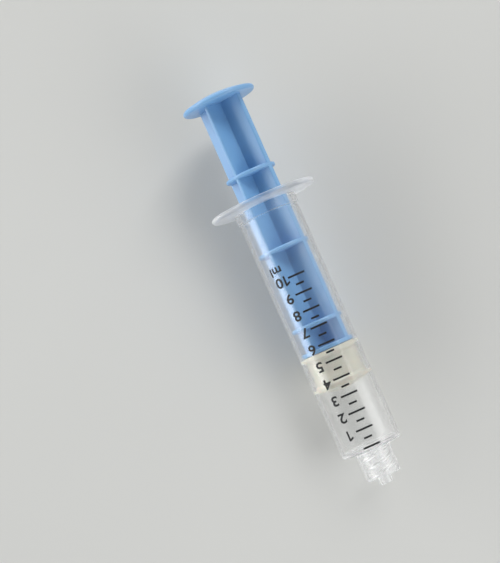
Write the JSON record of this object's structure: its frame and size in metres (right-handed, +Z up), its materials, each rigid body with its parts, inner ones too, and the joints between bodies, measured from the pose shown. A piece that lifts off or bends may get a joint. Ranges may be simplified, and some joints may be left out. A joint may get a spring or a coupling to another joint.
{
  "type": "loss of resistance syringe",
  "caption": "Clear plastic syringe with a round finger flange and a luer lock tip, holding a blue ribbed plunger rod with an ivory piston; a printed volume scale runs along the barrel.",
  "frame": {"origin": "on the table, under the middle of the whole length, as the syringe lies on its flange's rim and its front shoulder", "axes": "+Z up, +Y along the syringe from the tip to the thumb disc, +X to the right when the thumb disc is away from the viewer; the barrel's axis slopes 5.22 degrees down towards the tip"},
  "size_m": [0.0314, 0.12, 0.0313],
  "materials": {
    "clear_plastic": "gloss, slightly milky",
    "blue_plastic": "satin",
    "ivory_elastomer": "satin",
    "black_ink": "matte"
  },
  "bodies": {
    "barrel": {"barrel": "clear_plastic", "luer_lock_collar": "clear_plastic", "long_lines": "black_ink", "short_lines": "black_ink", "numerals": "black_ink", "unit_mark": "black_ink"},
    "piston": {"piston": "ivory_elastomer"},
    "plunger_rod": {"plunger_rod": "blue_plastic"}
  },
  "joints": [
    {"name": "plunger_slide", "type": "slide", "parent": "barrel", "child": "piston", "axis": [0, 0.9958, 0.091], "range_m": [-0.0185, 0.0401]},
    {"name": "rod_turn", "type": "hinge", "parent": "piston", "child": "plunger_rod", "pos_m": [0, -0.02424, 0.011], "axis": [0, 0.9958, 0.091], "continuous": true}
  ]
}
